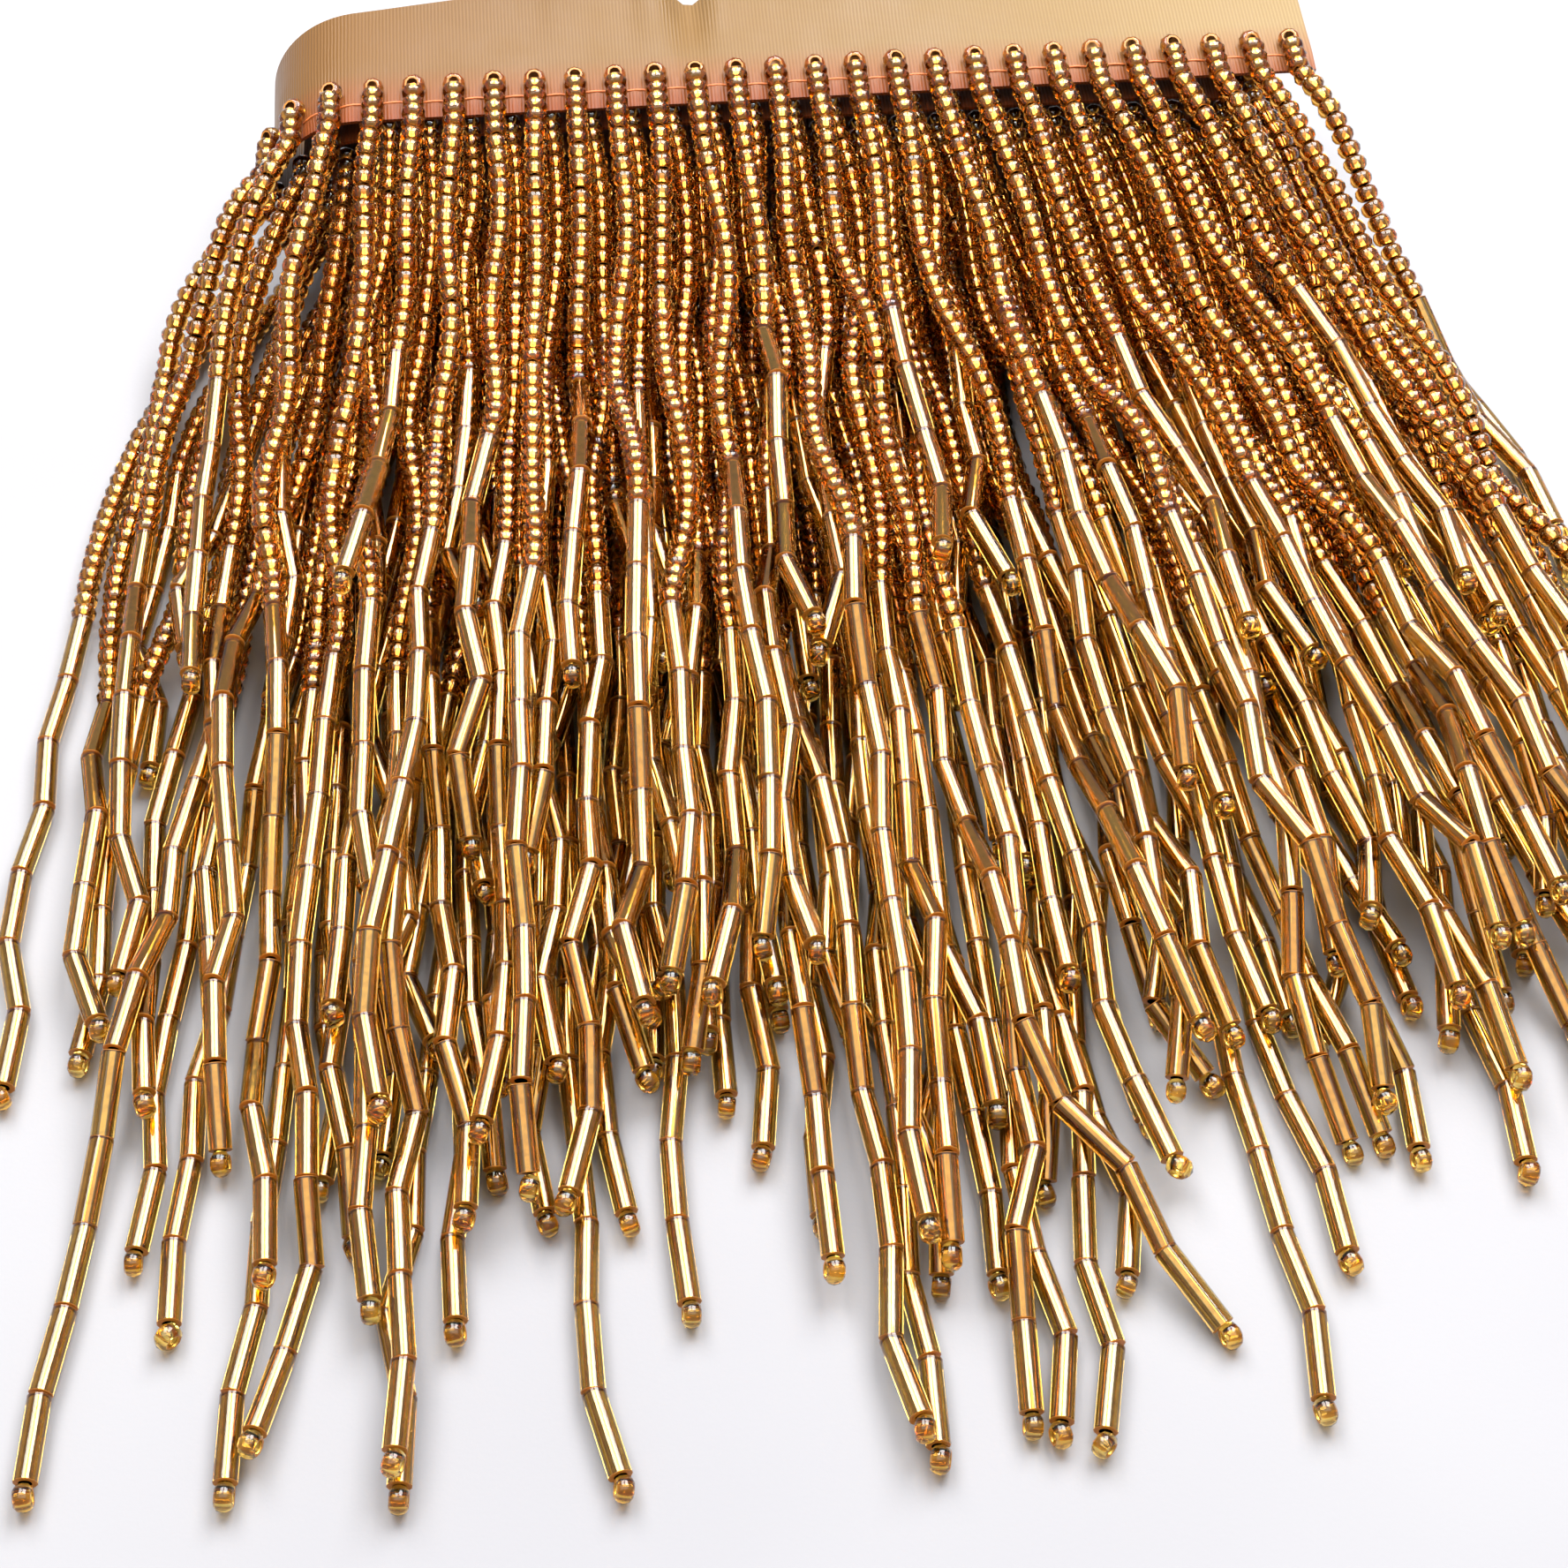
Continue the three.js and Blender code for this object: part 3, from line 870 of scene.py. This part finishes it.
# %% Stopper beads lie across the thread
STOPPER_SEAT = 0.43
STOPPER_TILT = 0.3

ends = np.array([strand["joints"][-1] for strand in strands])
ways = np.array([strand["joints"][-1] - strand["joints"][-2] for strand in strands])
ways /= np.linalg.norm(ways, axis=1, keepdims=True)
across = np.cross(ways, (0, 0, 1))
across += ways * rng.normal(0, STOPPER_TILT, (len(strands), 1))
across /= np.linalg.norm(across, axis=1, keepdims=True)
places = ends + ways * STOPPER_LENGTH * STOPPER_SEAT
stopper_turns = turns_along(across, wobble_degrees=6, size_spread=0.04)
stopper_tints = rng.integers(0, len(stopper_glass), len(strands))
clear = [*stopper_glass, cut_end, stopper_glass[0]]
stopper_beads = joined("stopper_beads", SEED_SHAPE, places, stopper_turns, clear, stopper_tints)
print(len(strands), "stopper beads")
for piece in (root_beads, stopper_beads):
    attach(piece, "root")
    bead_pieces.append(piece)

# %% [markdown]
# ## The satin ribbon
# The ribbon is one strip of satin, 15 mm wide, that follows the winding. A thin sheet with a
# real thickness is enough: rows along the winding, columns across it, and small puckers where
# the strands are sewn on.

# %% Satin with fine ribs
# Polyester satin: long smooth floats of thread that run one way, so the light slides along
# them as a soft sheen, over fine ribs. Its threads are about 0.17 mm apart, too fine to show
# here, so each drawn rib stands for two. Its colour holds painted light: honey at the left and
# cream at the right, where the lamps light it more, and a painted amber bead glow with painted
# shade on its lower edge.
THREAD_PITCH_MM = 0.34
RIB_DEPTH_MM = 0.1
CLOUD_MM = 4.2
# Painted light: the ribbon is drawn honey where it is dim and cream where the lamps light it more.
HONEY_PAINTED_DIM, PALE_PAINTED_MID, CREAM_PAINTED_LIT = "#684821", "#755c38", "#89744f"
PAINTED_DIM_AT_MM, PAINTED_LIT_AT_MM = -45, 55
# Painted amber glow of bounce light from the beads, with painted shade, along the lower edge.
PAINTED_BEAD_GLOW = "#7e3815"
PAINTED_GLOW_ENDS_MM = 6.5
# At scale 1 a wave texture repeats once in this many units.
WAVE_REPEAT = 2 * math.pi / 20


def satin():
    """Ribbed satin, with painted light from honey to cream along it and a painted amber bead glow
    with shade at its lower edge.
    """
    material = new_material("honey_satin_ribbon")
    flat = add_node(material, "ShaderNodeUVMap", {"uv_map": "UVMap"})
    place = add_node(material, "ShaderNodeTexCoord")
    ribs = add_node(
        material,
        "ShaderNodeTexWave",
        {
            "wave_type": "BANDS",
            "bands_direction": "X",
            "Scale": WAVE_REPEAT / (THREAD_PITCH_MM * MM),
            "Distortion": 0.6,
            "Detail": 1.0,
            "Detail Scale": 0.4,
        },
        [("Vector", flat, "UV")],
    )
    cloud = add_node(
        material,
        "ShaderNodeTexNoise",
        {"Scale": noise_scale(CLOUD_MM), "Detail": 3.0},
        [("Vector", place, "Object")],
    )
    # Painted light: the tone runs from honey at the left to cream at the right, with a little
    # random cloud.
    split = add_node(material, "ShaderNodeSeparateXYZ", links=[("Vector", place, "Object")])
    along = add_node(
        material,
        "ShaderNodeMapRange",
        {"From Min": PAINTED_DIM_AT_MM * MM, "From Max": PAINTED_LIT_AT_MM * MM},
        [("Value", split, "X")],
    )
    drift = add_node(
        material,
        "ShaderNodeMath",
        {"operation": "MULTIPLY_ADD", 1: 0.12, 2: -0.06},
        [(0, cloud, "Fac")],
    )
    painted_light_and_cloud_place = add_node(
        material, "ShaderNodeMath", {"operation": "ADD"}, [(0, along, "Result"), (1, drift, 0)]
    )
    painted_light_and_cloud_tone = add_node(
        material,
        "ShaderNodeValToRGB",
        {"stops": [(0.0, colour(HONEY_PAINTED_DIM)), (0.55, colour(PALE_PAINTED_MID)), (1.0, colour(CREAM_PAINTED_LIT))]},
        [("Fac", painted_light_and_cloud_place, 0)],
    )
    # Painted bead glow and shade: the colour turns deeper amber over the lowest few millimetres.
    heights = add_node(material, "ShaderNodeSeparateXYZ", links=[("Vector", flat, "UV")])
    painted_glow_share = add_node(
        material,
        "ShaderNodeMapRange",
        {"From Min": 0.0, "From Max": PAINTED_GLOW_ENDS_MM * MM, "To Min": 0.85, "To Max": 0.0},
        [("Value", heights, "Y")],
    )
    painted_glow_and_light_tone = add_node(
        material,
        "ShaderNodeMix",
        {"data_type": "RGBA", "blend_type": "MIX", 7: colour(PAINTED_BEAD_GLOW)},
        [(0, painted_glow_share, "Result"), (6, painted_light_and_cloud_tone, "Color")],
    )
    shades = add_node(
        material,
        "ShaderNodeValToRGB",
        {"stops": [(0.0, colour("#eae4df")), (1.0, colour("#ffffff"))]},
        [("Fac", ribs, "Fac")],
    )
    ribbed = add_node(
        material,
        "ShaderNodeMix",
        {"data_type": "RGBA", "blend_type": "MULTIPLY", 0: 1.0},
        [(6, painted_glow_and_light_tone, 2), (7, shades, "Color")],
    )
    gloss = add_node(
        material,
        "ShaderNodeMapRange",
        {"From Min": 0.3, "From Max": 0.7, "To Min": 0.3, "To Max": 0.44},
        [("Value", cloud, "Fac")],
    )
    bump = add_node(
        material,
        "ShaderNodeBump",
        {"Strength": 0.35, "Distance": RIB_DEPTH_MM * MM},
        [("Height", ribs, "Fac")],
    )
    shader = add_node(
        material,
        "ShaderNodeBsdfPrincipled",
        {"Specular IOR Level": 0.15, "Sheen Weight": 0.05, "Sheen Roughness": 0.4},
        [("Base Color", ribbed, 2), ("Roughness", gloss, "Result"), ("Normal", bump, "Normal")],
    )
    add_node(material, "ShaderNodeOutputMaterial", links=[("Surface", shader, "BSDF")])
    return material


ribbon_satin = satin()
print("ribbon:", ribbon_satin.name, "with ribs", THREAD_PITCH_MM, "mm apart")

# %% [markdown]
# ## Springy edge and crease
# The upper edge of the ribbon carries no beads, so the outer layer is free to stand off there.
# It lifts in long soft waves and has one sharp crease near the middle. Each row of the table
# is one bump or dent of that edge, and all of them fade out towards the stitches.

# %% Where the outer layer's upper edge springs up, and the crease in it
TOP_LIFTS = [
    {"x": -25, "width": 13, "lift": 2.2},
    {"x": 10, "width": 14, "lift": 1.4},
    {"x": 38, "width": 16, "lift": 0.8},
    {"x": -8.6, "width": 1.5, "lift": -1.6},
    {"x": -12.2, "width": 1.7, "lift": 0.9},
    {"x": -5.6, "width": 1.4, "lift": 0.5},
    {"x": -21.5, "width": 1.3, "lift": 0.4},
]


def top_lift(x):
    """How far the free upper edge stands off at a place along the front."""
    return sum(
        each["lift"] * math.exp(-(((x - each["x"]) / each["width"]) ** 2)) for each in TOP_LIFTS
    )


# %% The ribbon's sheet
ROW_STEP = 0.9
ACROSS = 14
PUCKER = {"rise": 0.16, "width": 1.5}
EDGE_WAVES = [
    {"rise": 0.25, "run": 9, "phase": 0},
    {"rise": 0.15, "run": 4.3, "phase": 1},
]


def ribbon_sheet():
    """Points of the ribbon's middle surface, row by row along the winding."""
    stations = np.linspace(0, RIBBON_LENGTH, int(RIBBON_LENGTH / ROW_STEP) + 1)
    shares = np.linspace(0, 1, ACROSS + 1)
    middle = np.zeros((len(stations), len(shares), 3))
    outward = np.zeros_like(middle)
    for row, station in enumerate(stations):
        run, point, out = ribbon_at(min(station, RIBBON_LENGTH - 1e-6))
        for column, share in enumerate(shares):
            across = EDGE_Y + RIBBON_WIDTH * share
            sewn = math.exp(-(((across - EDGE_Y - FACE_ROOT_INSET) / PUCKER["width"]) ** 2))
            pucker = PUCKER["rise"] * sewn * math.cos(2 * math.pi * station / STRAND_PITCH)
            waves = sum(
                each["rise"] * share * math.sin(station / each["run"] + each["phase"])
                for each in EDGE_WAVES
            )
            rise = pucker + waves - edge_droop(run, out, across)
            if run["outside"] and out[1] > 0:
                rise += share**2 * top_lift(point[0])
            middle[row, column] = (point[0] + out[0] * rise, across, point[1] + out[1] * rise)
            outward[row, column] = (out[0], 0, out[1])
    return stations, shares, middle, outward


def sheet_mesh(name, stations, shares, middle, outward, thickness, material):
    """A closed sheet with real thickness around a middle surface, unrolled flat in its UV map."""
    rows, columns = len(stations), len(shares)
    both_faces = [middle + outward * thickness / 2, middle - outward * thickness / 2]
    points = np.concatenate([side.reshape(-1, 3) for side in both_faces]) * MM
    index = np.arange(rows * columns).reshape(rows, columns)
    under = index + rows * columns
    quads = []

    def patch(grid, flip):
        corners = [grid[:-1, :-1], grid[1:, :-1], grid[1:, 1:], grid[:-1, 1:]]
        if flip:
            corners = corners[::-1]
        quads.extend(np.stack([corner.ravel() for corner in corners], axis=1).tolist())

    patch(index, False)
    patch(under, True)
    rims = [
        np.stack([under[:, 0], index[:, 0]], axis=1),
        np.stack([index[:, -1], under[:, -1]], axis=1),
        np.stack([index[0, :], under[0, :]], axis=1),
        np.stack([under[-1, :], index[-1, :]], axis=1),
    ]
    for rim in rims:
        patch(rim, False)
    mesh = bpy.data.meshes.new(name)
    mesh.from_pydata(points.tolist(), [], quads)
    layer = mesh.uv_layers.new(name="UVMap")
    lengthwise = np.repeat(stations, columns)
    crosswise = np.tile(shares * RIBBON_WIDTH, rows)
    places = np.stack([np.tile(lengthwise, 2), np.tile(crosswise, 2)], axis=1) * MM
    order = np.zeros(len(mesh.loops), dtype=np.int32)
    mesh.loops.foreach_get("vertex_index", order)
    uvs = places[order].astype(np.float32)
    layer.data.foreach_set("uv", uvs.ravel())
    mesh.materials.append(material)
    mesh.shade_smooth()
    mesh.set_sharp_from_angle(angle=math.radians(60))
    piece = bpy.data.objects.new(name, mesh)
    bpy.context.scene.collection.objects.link(piece)
    return piece


ribbon = sheet_mesh("satin_ribbon", *ribbon_sheet(), SATIN_THICKNESS, ribbon_satin)
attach(ribbon, "root")
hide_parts("heading_ribbon")
print("ribbon faces:", len(ribbon.data.polygons))

# %% [markdown]
# ## The sewing
# The strands are sewn on with one thread that runs along the ribbon in long stitches just
# below the root beads. It is a line of thin tubes that bow a little out of the satin, one for
# each strand's pitch, on the layer that shows.

# %% Waxed sewing thread
# Twisted polyester, waxed so that it runs through beads: the plies give it a rope-like grain,
# and the wax a dull shine. The grain is drawn about twice as coarse as it is.
PLY_MM = 0.24
PLY_DEPTH_MM = 0.05


def waxed_thread():
    """Amber sewing thread with its twist as a fine grain."""
    material = new_material("amber_waxed_thread")
    place = add_node(material, "ShaderNodeTexCoord")
    plies = add_node(
        material,
        "ShaderNodeTexNoise",
        {"Scale": noise_scale(PLY_MM), "Detail": 2.0},
        [("Vector", place, "Object")],
    )
    tone = add_node(
        material,
        "ShaderNodeValToRGB",
        {"stops": [(0.35, colour("#aa5821")), (0.65, colour("#c66d34"))]},
        [("Fac", plies, "Fac")],
    )
    bump = add_node(
        material,
        "ShaderNodeBump",
        {"Strength": 0.3, "Distance": PLY_DEPTH_MM * MM},
        [("Height", plies, "Fac")],
    )
    shader = add_node(
        material,
        "ShaderNodeBsdfPrincipled",
        {"Roughness": 0.5, "IOR": 1.5},
        [("Base Color", tone, "Color"), ("Normal", bump, "Normal")],
    )
    add_node(material, "ShaderNodeOutputMaterial", links=[("Surface", shader, "BSDF")])
    return material


# %% One tube for each stitch
THREAD_RADIUS = 0.13
THREAD_SIDES = 6
STITCH_STEPS = 7
STITCH_INSET = 2.0
STITCH_GAP = 0.3
STITCH_SINK = 0.12
STITCH_BOW = 0.24
STITCH_WANDER = {"most": 0.08, "turn": 2.3}


def stitch_tubes():
    """One mesh of short tubes along the outer layer, each sunk into the satin at its ends."""
    sides, steps = THREAD_SIDES, STITCH_STEPS
    points, quads = [], []
    outside = [run for run in RUNS if run["outside"]]
    first = int(outside[0]["start"] / STRAND_PITCH) + 1
    for index in range(first, int(RIBBON_LENGTH / STRAND_PITCH) - 1):
        base = len(points)
        start = STRAND_PITCH * (index + 0.5)
        stitch = np.linspace(start + STITCH_GAP, start + STRAND_PITCH - STITCH_GAP, steps)
        wander = STITCH_WANDER["most"] * math.sin(index * STITCH_WANDER["turn"])
        y = EDGE_Y + STITCH_INSET + wander
        for step, station in enumerate(stitch):
            run, point, out = ribbon_at(station)
            bow = STITCH_BOW * math.sin(math.pi * step / (steps - 1))
            rise = SATIN_THICKNESS / 2 - STITCH_SINK + bow - edge_droop(run, out, y)
            for side in range(sides):
                angle = 2 * math.pi * side / sides
                lift = rise + THREAD_RADIUS * math.sin(angle)
                points.append(
                    (
                        (point[0] + out[0] * lift) * MM,
                        (y + THREAD_RADIUS * math.cos(angle)) * MM,
                        (point[1] + out[1] * lift) * MM,
                    )
                )
        for step in range(steps - 1):
            for side in range(sides):
                beside = (side + 1) % sides
                here, there = base + step * sides, base + (step + 1) * sides
                quads.append((here + side, here + beside, there + beside, there + side))
        quads.append(tuple(base + side for side in reversed(range(sides))))
        quads.append(tuple(base + (steps - 1) * sides + side for side in range(sides)))
    mesh = bpy.data.meshes.new("stitching")
    mesh.from_pydata(points, [], quads)
    mesh.materials.append(waxed_thread())
    mesh.shade_smooth()
    piece = bpy.data.objects.new("stitching", mesh)
    bpy.context.scene.collection.objects.link(piece)
    return piece


stitching = stitch_tubes()
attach(stitching, "root")
print("stitching faces:", len(stitching.data.polygons))

# %% [markdown]
# ## Floor
# The trim lies on a plain pale floor, a matt board that takes soft shadows and shows none of
# the lamps. It isn't part of the trim.

# %% Floor
# Uncoated board: its fibres give a tooth that is felt more than seen, drawn here a few times
# coarser than it is, and its tone changes slowly over a hand's breadth.
TOOTH_MM = 0.4
TOOTH_DEPTH_MM = 0.05
BOARD_CLOUD_MM = 110
FLOOR_REACH = 3


def matt_floor():
    """Smooth matt board with a fine tooth and hardly any change of tone."""
    material = new_material("pale_matt_board")
    place = add_node(material, "ShaderNodeTexCoord")
    cloud = add_node(
        material,
        "ShaderNodeTexNoise",
        {"Scale": noise_scale(BOARD_CLOUD_MM), "Detail": 3.0},
        [("Vector", place, "Object")],
    )
    tooth = add_node(
        material,
        "ShaderNodeTexNoise",
        {"Scale": noise_scale(TOOTH_MM), "Detail": 1.0},
        [("Vector", place, "Object")],
    )
    tone = add_node(
        material,
        "ShaderNodeValToRGB",
        {"stops": [(0.3, colour("#8a898c")), (0.7, colour("#949395"))]},
        [("Fac", cloud, "Fac")],
    )
    bump = add_node(
        material,
        "ShaderNodeBump",
        {"Strength": 0.15, "Distance": TOOTH_DEPTH_MM * MM},
        [("Height", tooth, "Fac")],
    )
    shader = add_node(
        material,
        "ShaderNodeBsdfPrincipled",
        {"Roughness": 0.8},
        [("Base Color", tone, "Color"), ("Normal", bump, "Normal")],
    )
    add_node(material, "ShaderNodeOutputMaterial", links=[("Surface", shader, "BSDF")])
    return material


floor_corners = [
    (x * FLOOR_REACH, y * FLOOR_REACH, 0) for x, y in ((-1, -1), (1, -1), (1, 1), (-1, 1))
]
floor_mesh = bpy.data.meshes.new("floor")
floor_mesh.from_pydata(floor_corners, [], [(0, 1, 2, 3)])
floor_mesh.materials.append(matt_floor())
floor = bpy.data.objects.new("floor", floor_mesh)
bpy.context.scene.collection.objects.link(floor)
print("floor:", floor_mesh.materials[0].name)

# %% [markdown]
# ## Lamps
# A bright tube shows each lamp as a long band down its side, so the lamps are placed for the
# bands. Two strong ones stand side by side beyond the ribbon, with a gap between them that
# parts the bands. A broad, weak one overhead fills the round beads. The rest is pale studio
# light from all sides.

# %% Lamps and sky
LAMP_COLUMNS = ("name", "at", "size", "tilt", "brightness")
LAMPS = [
    ("softbox_right", (0.24, 0.23, 0.54), (0.38, 0.52), 29, 15.0),
    ("softbox_left", (-0.19, 0.23, 0.54), (0.32, 0.52), 29, 12.0),
    ("softbox_top", (0.0, -0.2, 0.7), (1.2, 0.5), -10, 1.9),
]
SKY = "#f4f4f8"
SKY_STRENGTH = 0.55

for lamp in [dict(zip(LAMP_COLUMNS, row)) for row in LAMPS]:
    width, depth = lamp["size"]
    light = bpy.data.lights.new(lamp["name"], "AREA")
    light.shape = "RECTANGLE"
    light.size = width
    light.size_y = depth
    light.energy = lamp["brightness"] * math.pi * width * depth
    holder = bpy.data.objects.new(lamp["name"], light)
    holder.location = lamp["at"]
    holder.rotation_euler = Euler((-math.radians(lamp["tilt"]), 0, 0))
    bpy.context.scene.collection.objects.link(holder)

world = bpy.data.worlds.new("studio")
world.use_nodes = True
sky = world.node_tree.nodes["Background"]
sky.inputs["Color"].default_value = colour(SKY)
sky.inputs["Strength"].default_value = SKY_STRENGTH
bpy.context.scene.world = world
bpy.context.scene.view_settings.view_transform = "Standard"
# Light has to get through several beads in a row, and matt surfaces need few bounces.
bpy.context.scene.cycles.max_bounces = 10
bpy.context.scene.cycles.transmission_bounces = 10
bpy.context.scene.cycles.diffuse_bounces = 2
print(len(LAMPS), "lamps")

# %% [markdown]
# ## Camera
# It stands where the photograph was taken from. Its place, tilt and lens were solved from the
# ends of the ribbon and of the strands at the real sizes above.

# %% Camera
CAMERA_AT = (-0.0186, -0.2247, 0.1935)
LOOK_DOWN_DEGREES = 52.47
TURN_DEGREES = 4.8
FOCAL_PIXELS = 3222
PHOTO_PIXELS = 1776
SENSOR = 36

camera = bpy.data.cameras.new("camera")
camera.sensor_width = SENSOR
camera.lens = FOCAL_PIXELS / PHOTO_PIXELS * SENSOR
camera.clip_start = 0.01
viewer = bpy.data.objects.new("camera", camera)
viewer.location = CAMERA_AT
tilt = math.radians(90 - LOOK_DOWN_DEGREES)
viewer.rotation_euler = Euler((tilt, 0, -math.radians(TURN_DEGREES)))
bpy.context.scene.collection.objects.link(viewer)
bpy.context.scene.camera = viewer
print(f"camera: {camera.lens:.0f} mm lens, looking {LOOK_DOWN_DEGREES} degrees down")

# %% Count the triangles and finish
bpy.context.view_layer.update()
meshes = [piece.data for piece in [*bead_pieces, ribbon, stitching]]
print("triangles:", sum(len(mesh.loops) - 2 * len(mesh.polygons) for mesh in meshes))
